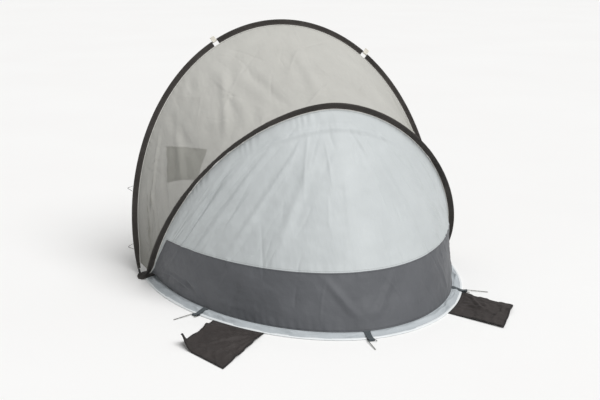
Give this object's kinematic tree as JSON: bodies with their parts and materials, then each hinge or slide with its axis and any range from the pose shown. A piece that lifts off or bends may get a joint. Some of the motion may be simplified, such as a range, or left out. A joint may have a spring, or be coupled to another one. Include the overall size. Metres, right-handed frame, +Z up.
{
  "type": "tarp shelter",
  "caption": "Low pop-up tarp shelter: sprung hoops carry a roof cloth and a rear wall over an oval groundsheet, with peg straps and sand pockets.",
  "frame": {"origin": "on the underside of the groundsheet, midway between the two corners where the hoops stand", "axes": "+Z up, -Y out of the open mouth, +X from the centre towards the corner that is on the left when the shelter is seen from behind"},
  "size_m": [1.6068, 1.5818, 1.159],
  "materials": {
    "roof_cloth": "thin coated polyester, light warm grey, slightly translucent",
    "silver_cloth": "polyester with a pale silver coating, soft satin",
    "band_cloth": "dark grey polyester, matt",
    "rim_cloth": "woven polyethylene, pale blue-grey, creased",
    "floor_cloth": "woven polyethylene groundsheet, matt",
    "sleeve_cloth": "near-black brown polyester tunnel",
    "pocket_cloth": "near-black brown polyester, creased",
    "webbing": "woven webbing, dark slate grey",
    "seam_tape": "narrow sewn seam binding",
    "pouch_mesh": "fine pale mesh cloth",
    "tab_tape": "white woven tape",
    "loop_tape": "black woven tape",
    "spring_steel": "bare spring wire",
    "peg_steel": "zinc-plated wire",
    "foot_plastic": "black moulded cap"
  },
  "bodies": {
    "floor": {"groundsheet": "floor_cloth", "floor_hoop_wire": "spring_steel", "rear_rim": "rim_cloth", "front_rim": "rim_cloth", "corner_patch_left": "webbing", "corner_patch_right": "webbing", "rear_wall_panel": "silver_cloth", "rear_wall_band": "band_cloth", "rear_seam_tape": "seam_tape", "peg_strap_left": "webbing", "peg_strap_centre": "webbing", "peg_strap_right": "webbing"},
    "rear_arch": {"rear_arch_wire": "spring_steel", "rear_foot_cap_left": "foot_plastic", "rear_foot_cap_right": "foot_plastic", "rear_arch_sleeve": "sleeve_cloth", "roof_canopy": "roof_cloth", "storage_pouch": "pouch_mesh"},
    "front_arch": {"front_arch_wire": "spring_steel", "front_foot_cap_left": "foot_plastic", "front_foot_cap_right": "foot_plastic", "front_arch_sleeve_left": "sleeve_cloth", "front_arch_sleeve_centre": "sleeve_cloth", "front_arch_sleeve_right": "sleeve_cloth", "guy_tab_left": "tab_tape", "guy_tab_right": "tab_tape", "storm_loop_left_lower": "loop_tape", "storm_loop_left_upper": "loop_tape", "storm_loop_right_lower": "loop_tape", "storm_loop_right_upper": "loop_tape"},
    "pocket_left": {"sand_pocket_left": "pocket_cloth"},
    "pocket_right": {"sand_pocket_right": "pocket_cloth"},
    "peg_left": {"peg_left": "peg_steel"},
    "peg_centre": {"peg_centre": "peg_steel"},
    "peg_right": {"peg_right": "peg_steel"}
  },
  "joints": [
    {"name": "rear_arch_fold", "type": "hinge", "parent": "floor", "child": "rear_arch", "pos_m": [0, 0, 0.016], "axis": [1, 0, 0], "range_deg": [-20, 0], "stiffness_Nm_per_rad": 30, "springref_deg": 40.11, "deforming": ["rear_wall_panel", "rear_wall_band", "rear_seam_tape"]},
    {"name": "front_arch_fold", "type": "hinge", "parent": "rear_arch", "child": "front_arch", "pos_m": [0, 0, 0.016], "axis": [1, 0, 0], "range_deg": [-40, 0], "stiffness_Nm_per_rad": 30, "springref_deg": 40.11, "deforming": ["roof_canopy", "storage_pouch"]},
    {"name": "pocket_left_flip", "type": "hinge", "parent": "floor", "child": "pocket_left", "pos_m": [0.47281, 0.78531, 0.0012], "axis": [0.6283, -0.778, 0], "range_deg": [0, 45]},
    {"name": "pocket_right_flip", "type": "hinge", "parent": "floor", "child": "pocket_right", "pos_m": [-0.51053, 0.73313, 0.0012], "axis": [0.5769, 0.8168, 0], "range_deg": [0, 45]},
    {"name": "peg_left_swing", "type": "hinge", "parent": "floor", "child": "peg_left", "pos_m": [0.62245, 0.60435, 0.0053], "axis": [0.4469, -0.8946, 0], "range_deg": [0, 100]},
    {"name": "peg_centre_swing", "type": "hinge", "parent": "floor", "child": "peg_centre", "pos_m": [0, 1.081, 0.0053], "axis": [1, 0, 0], "range_deg": [0, 100]},
    {"name": "peg_right_swing", "type": "hinge", "parent": "floor", "child": "peg_right", "pos_m": [-0.62245, 0.60435, 0.0053], "axis": [0.4469, 0.8946, 0], "range_deg": [0, 100]}
  ]
}
